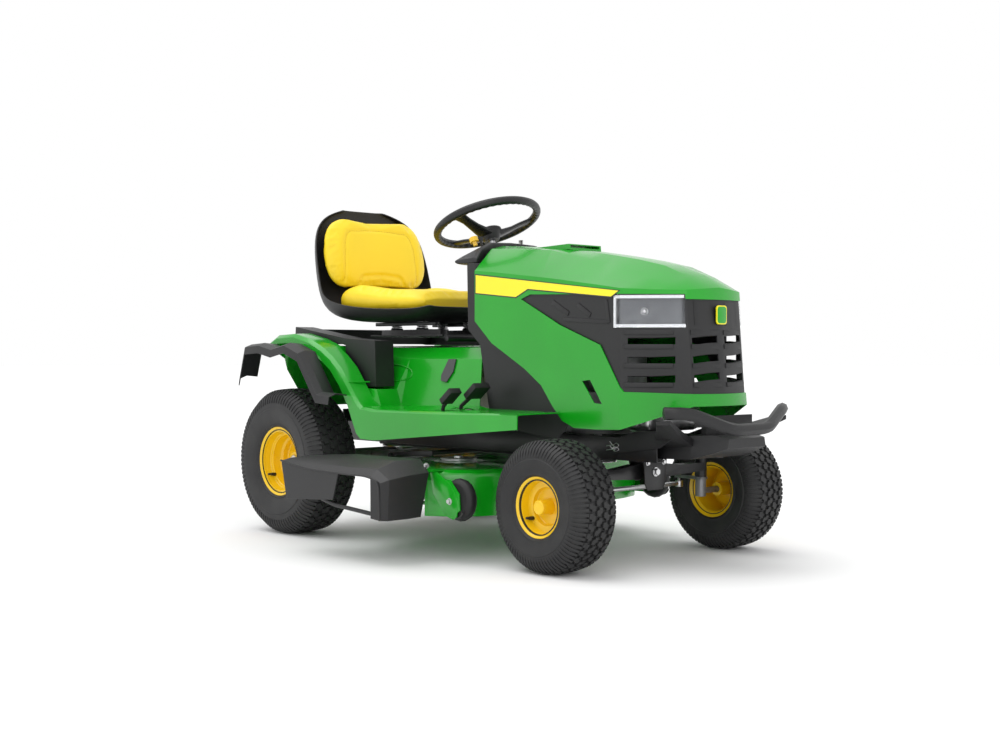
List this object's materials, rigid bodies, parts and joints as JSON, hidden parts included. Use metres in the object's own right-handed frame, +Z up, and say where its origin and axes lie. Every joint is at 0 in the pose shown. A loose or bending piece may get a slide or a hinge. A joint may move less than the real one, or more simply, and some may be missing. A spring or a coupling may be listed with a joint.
{
  "type": "riding lawn mower",
  "caption": "Ride-on lawn tractor with a side-discharge mower deck, lifting hood, tilting seat, steered rocking front axle and foot pedals.",
  "frame": {"origin": "on the ground under the middle of the whole machine, with the deck and its discharge deflector counted in", "axes": "+Z up, -Y forwards (the nose), +X to the operator's left, so the discharge side is -X"},
  "size_m": [1.267, 1.9043, 1.1479],
  "materials": {
    "green_paint": "gloss",
    "yellow_paint": "semi-gloss",
    "black_paint": "satin",
    "black_plastic": "fine grain",
    "tyre_rubber": "matte",
    "pad_rubber": "matte",
    "seat_vinyl": "soft sheen",
    "bare_steel": "zinc plated",
    "cast_metal": "as cast",
    "clear_lens": "clear",
    "tank_plastic": "translucent"
  },
  "bodies": {
    "chassis": {"frame_rail_right": "black_paint", "frame_rail_left": "black_paint", "front_crossmember": "black_paint", "hitch_plate": "black_paint", "engine": "cast_metal", "transaxle": "cast_metal", "drive_belt": "pad_rubber", "muffler": "bare_steel", "fuel_tank": "tank_plastic", "battery": "black_plastic", "pedestal": "black_plastic", "dash_panel": "black_plastic", "fender_deck": "green_paint", "seat_surround": "black_plastic", "rear_guard_right": "black_plastic", "rear_guard_left": "black_plastic", "fuel_window": "clear_lens", "bumper": "black_plastic", "bumper_bracket": "black_plastic"},
    "front_axle": {"axle_beam": "black_paint"},
    "spindle_right": {"spindle_right": "cast_metal"},
    "spindle_left": {"spindle_left": "cast_metal"},
    "tie_rod": {"tie_rod": "bare_steel"},
    "front_wheel_right": {"front_tyre_right": "tyre_rubber", "front_rim_right": "yellow_paint"},
    "front_wheel_left": {"front_tyre_left": "tyre_rubber", "front_rim_left": "yellow_paint"},
    "rear_wheel_right": {"rear_tyre_right": "tyre_rubber", "rear_rim_right": "yellow_paint"},
    "rear_wheel_left": {"rear_tyre_left": "tyre_rubber", "rear_rim_left": "yellow_paint"},
    "steering": {"steering_wheel": "black_plastic", "steering_shaft": "bare_steel"},
    "engine_pulley": {"engine_pulley": "bare_steel"},
    "drive_pulley": {"drive_pulley": "bare_steel"},
    "hood": {"hood_shell": "green_paint", "grille": "black_plastic", "headlight_right": "clear_lens", "headlight_left": "clear_lens", "grille_badge": "green_paint"},
    "seat_base": {"seat_base": "black_paint"},
    "seat": {"seat_shell": "black_plastic", "seat_cushion": "seat_vinyl", "seat_backrest": "seat_vinyl"},
    "deck": {"deck_shell": "green_paint"},
    "chute": {"discharge_chute": "black_plastic"},
    "blade_right": {"blade_right": "bare_steel", "pulley_right": "bare_steel"},
    "blade_left": {"blade_left": "bare_steel", "pulley_left": "bare_steel"},
    "gauge_wheel_right": {"gauge_wheel_right": "black_plastic"},
    "gauge_wheel_left": {"gauge_wheel_left": "black_plastic"},
    "lift_gear": {"lift_shaft": "black_paint", "lift_lever": "black_paint"},
    "forward_pedal": {"forward_pedal": "pad_rubber"},
    "reverse_pedal": {"reverse_pedal": "pad_rubber"},
    "brake_pedal": {"brake_pedal": "pad_rubber"},
    "throttle_lever": {"throttle_lever": "black_plastic"},
    "pto_knob": {"pto_knob": "yellow_paint"},
    "ignition_key": {"ignition_key": "bare_steel"}
  },
  "joints": [
    {"name": "axle_rock", "type": "hinge", "parent": "chassis", "child": "front_axle", "pos_m": [0.0665, -0.5414, 0.266], "axis": [0, 1, 0], "range_deg": [-5, 5]},
    {"name": "steering_turn", "type": "hinge", "parent": "chassis", "child": "steering", "pos_m": [0.0665, 0.1651, 1.057], "axis": [0, 0.3649, 0.9311], "range_deg": [-210, 210]},
    {"name": "spindle_right_steer", "type": "hinge", "parent": "front_axle", "child": "spindle_right", "pos_m": [-0.1955, -0.5414, 0.266], "axis": [0, 0, 1], "range_deg": [-35, 35]},
    {"name": "spindle_left_steer", "type": "hinge", "parent": "front_axle", "child": "spindle_left", "pos_m": [0.3285, -0.5414, 0.266], "axis": [0, 0, 1], "range_deg": [-35, 35]},
    {"name": "tie_rod_swing", "type": "hinge", "parent": "spindle_left", "child": "tie_rod", "pos_m": [0.3285, -0.4534, 0.206], "axis": [0, 0, 1], "range_deg": [-35, 35]},
    {"name": "front_wheel_right_spin", "type": "hinge", "parent": "spindle_right", "child": "front_wheel_right", "pos_m": [-0.315, -0.5414, 0.1893], "axis": [1, 0, 0], "continuous": true},
    {"name": "front_wheel_left_spin", "type": "hinge", "parent": "spindle_left", "child": "front_wheel_left", "pos_m": [0.448, -0.5414, 0.1893], "axis": [1, 0, 0], "continuous": true},
    {"name": "rear_wheel_right_spin", "type": "hinge", "parent": "chassis", "child": "rear_wheel_right", "pos_m": [-0.3345, 0.7036, 0.2488], "axis": [1, 0, 0], "continuous": true},
    {"name": "rear_wheel_left_spin", "type": "hinge", "parent": "chassis", "child": "rear_wheel_left", "pos_m": [0.4675, 0.7036, 0.2488], "axis": [1, 0, 0], "continuous": true},
    {"name": "engine_spin", "type": "hinge", "parent": "chassis", "child": "engine_pulley", "pos_m": [0.0665, -0.3489, 0.296], "axis": [0, 0, 1], "continuous": true},
    {"name": "drive_pulley_spin", "type": "hinge", "parent": "chassis", "child": "drive_pulley", "pos_m": [0.0665, 0.6411, 0.296], "axis": [0, 0, 1], "continuous": true},
    {"name": "hood_open", "type": "hinge", "parent": "chassis", "child": "hood", "pos_m": [0.0665, -0.8119, 0.452], "axis": [1, 0, 0], "range_deg": [0, 50]},
    {"name": "seat_tilt", "type": "hinge", "parent": "chassis", "child": "seat_base", "pos_m": [0.0665, 0.2011, 0.668], "axis": [1, 0, 0], "range_deg": [0, 28]},
    {"name": "seat_slide", "type": "slide", "parent": "seat_base", "child": "seat", "axis": [0, 1, 0], "range_m": [-0.04, 0.05]},
    {"name": "deck_lift", "type": "slide", "parent": "chassis", "child": "deck", "axis": [0, 0, 1], "range_m": [-0.09, 0]},
    {"name": "lift_gear_swing", "type": "hinge", "parent": "chassis", "child": "lift_gear", "pos_m": [0.0665, 0.4261, 0.27], "axis": [1, 0, 0], "range_deg": [0, 24.5]},
    {"name": "chute_hinge", "type": "hinge", "parent": "deck", "child": "chute", "pos_m": [-0.4535, 0.0811, 0.286], "axis": [0, 1, 0], "range_deg": [0, 75], "stiffness_Nm_per_rad": 0.6, "springref_deg": -34.38},
    {"name": "blade_right_spin", "type": "hinge", "parent": "deck", "child": "blade_right", "pos_m": [-0.1735, 0.0361, 0.15], "axis": [0, 0, 1], "continuous": true},
    {"name": "blade_left_spin", "type": "hinge", "parent": "deck", "child": "blade_left", "pos_m": [0.3565, 0.1261, 0.15], "axis": [0, 0, 1], "continuous": true},
    {"name": "gauge_wheel_right_spin", "type": "hinge", "parent": "deck", "child": "gauge_wheel_right", "pos_m": [-0.3855, -0.2189, 0.186], "axis": [1, 0, 0], "continuous": true},
    {"name": "gauge_wheel_left_spin", "type": "hinge", "parent": "deck", "child": "gauge_wheel_left", "pos_m": [0.5525, -0.1549, 0.186], "axis": [1, 0, 0], "continuous": true},
    {"name": "forward_pedal_press", "type": "hinge", "parent": "chassis", "child": "forward_pedal", "pos_m": [-0.2375, 0.0361, 0.404], "axis": [1, 0, 0], "range_deg": [0, 11], "stiffness_Nm_per_rad": 8, "springref_deg": -11.46},
    {"name": "reverse_pedal_press", "type": "hinge", "parent": "chassis", "child": "reverse_pedal", "pos_m": [-0.2895, 0.0361, 0.404], "axis": [1, 0, 0], "range_deg": [0, 11], "stiffness_Nm_per_rad": 8, "springref_deg": -11.46},
    {"name": "brake_pedal_press", "type": "hinge", "parent": "chassis", "child": "brake_pedal", "pos_m": [0.3865, 0.0361, 0.404], "axis": [1, 0, 0], "range_deg": [0, 11], "stiffness_Nm_per_rad": 12, "springref_deg": -11.46},
    {"name": "throttle_swing", "type": "hinge", "parent": "chassis", "child": "throttle_lever", "pos_m": [-0.0185, 0.0931, 0.9644], "axis": [1, 0, 0], "range_deg": [-20, 20]},
    {"name": "pto_pull", "type": "slide", "parent": "chassis", "child": "pto_knob", "axis": [0, 0.4229, 0.9062], "range_m": [0, 0.012]},
    {"name": "ignition_turn", "type": "hinge", "parent": "chassis", "child": "ignition_key", "pos_m": [0.1565, 0.0931, 0.9644], "axis": [0, 0.4229, 0.9062], "range_deg": [0, 75]}
  ],
  "couplings": [
    {"joint": "spindle_right_steer", "follows": "steering_turn", "ratio": 0.16667},
    {"joint": "spindle_left_steer", "follows": "steering_turn", "ratio": 0.16667},
    {"joint": "tie_rod_swing", "follows": "steering_turn", "ratio": -0.16667},
    {"joint": "drive_pulley_spin", "follows": "engine_spin", "ratio": 0.9355},
    {"joint": "blade_left_spin", "follows": "blade_right_spin", "ratio": 1},
    {"joint": "lift_gear_swing", "follows": "deck_lift", "rad_per_m": -4.7}
  ]
}
